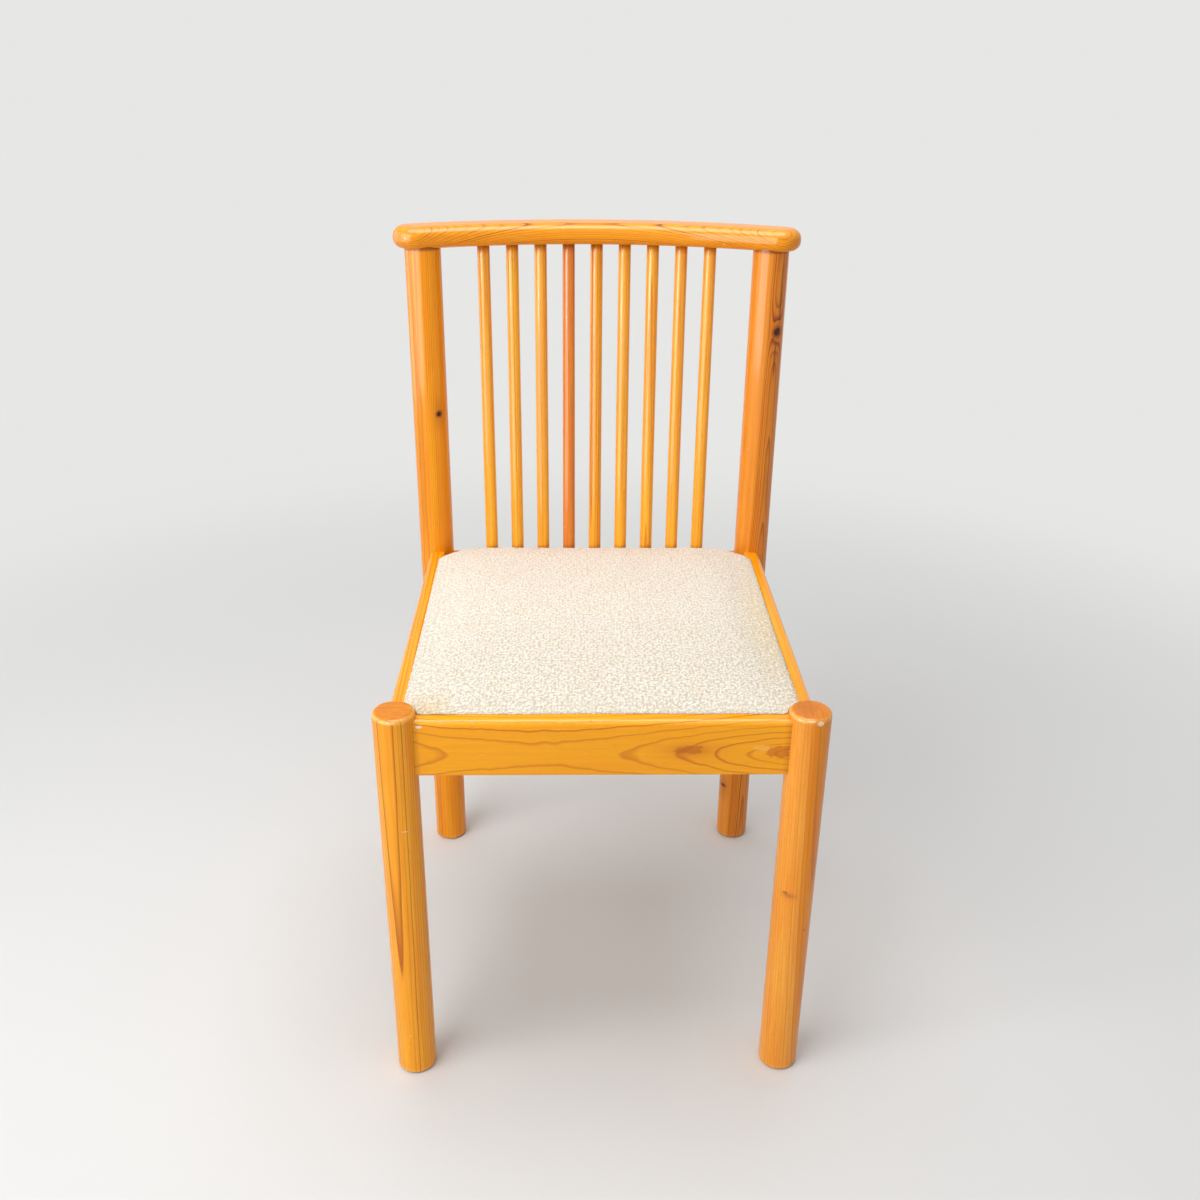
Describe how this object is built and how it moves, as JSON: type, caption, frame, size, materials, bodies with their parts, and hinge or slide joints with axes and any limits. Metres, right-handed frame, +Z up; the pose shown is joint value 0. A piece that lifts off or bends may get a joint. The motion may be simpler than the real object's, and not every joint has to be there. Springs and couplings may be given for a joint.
{
  "type": "spindle-back dining chair",
  "caption": "Wooden dining chair with round legs, a bowed crest rail over slim upright spindles, and a padded cloth drop-in seat screwed to corner blocks.",
  "frame": {"origin": "on the floor, under the middle of the chair's box", "axes": "+Z up, the chair faces -Y, and +X is on the right of someone who looks at its front"},
  "size_m": [0.4768, 0.5228, 0.8555],
  "materials": {
    "leg_pine": "clear gloss varnish over straight-grained softwood, aged amber",
    "post_pine": "clear gloss varnish over straight-grained softwood, aged amber",
    "crest_pine": "clear gloss varnish over straight-grained softwood, aged amber",
    "rail_pine": "clear gloss varnish over straight-grained softwood, aged amber",
    "spindle_pine": "clear gloss varnish over straight-grained softwood, aged amber",
    "seat_plywood": "raw sanded plywood",
    "cream_boucle": "looped wool-like cloth, matt",
    "raw_pine": "raw sawn softwood",
    "zinc_steel": "yellow zinc, satin"
  },
  "bodies": {
    "root": {"front_leg_left": "leg_pine", "front_leg_right": "leg_pine", "back_post_left": "post_pine", "back_post_right": "post_pine", "crest_rail": "crest_pine", "front_rail": "rail_pine", "back_rail": "rail_pine", "side_rail_left": "rail_pine", "side_rail_right": "rail_pine", "spindle_1": "spindle_pine", "spindle_2": "spindle_pine", "spindle_3": "spindle_pine", "spindle_4": "spindle_pine", "spindle_5": "spindle_pine", "spindle_6": "spindle_pine", "spindle_7": "spindle_pine", "spindle_8": "spindle_pine", "spindle_9": "spindle_pine", "seat_board": "seat_plywood", "seat_cushion": "cream_boucle", "corner_block_front_left": "raw_pine", "corner_block_front_right": "raw_pine", "corner_block_back_left": "raw_pine", "corner_block_back_right": "raw_pine", "block_screw_front_left_1": "zinc_steel", "block_screw_front_left_2": "zinc_steel", "block_screw_front_right_1": "zinc_steel", "block_screw_front_right_2": "zinc_steel", "block_screw_back_left_1": "zinc_steel", "block_screw_back_left_2": "zinc_steel", "block_screw_back_right_1": "zinc_steel", "block_screw_back_right_2": "zinc_steel", "seat_screw_front_left": "zinc_steel", "seat_screw_front_right": "zinc_steel", "seat_screw_back_left": "zinc_steel", "seat_screw_back_right": "zinc_steel"}
  },
  "joints": []
}
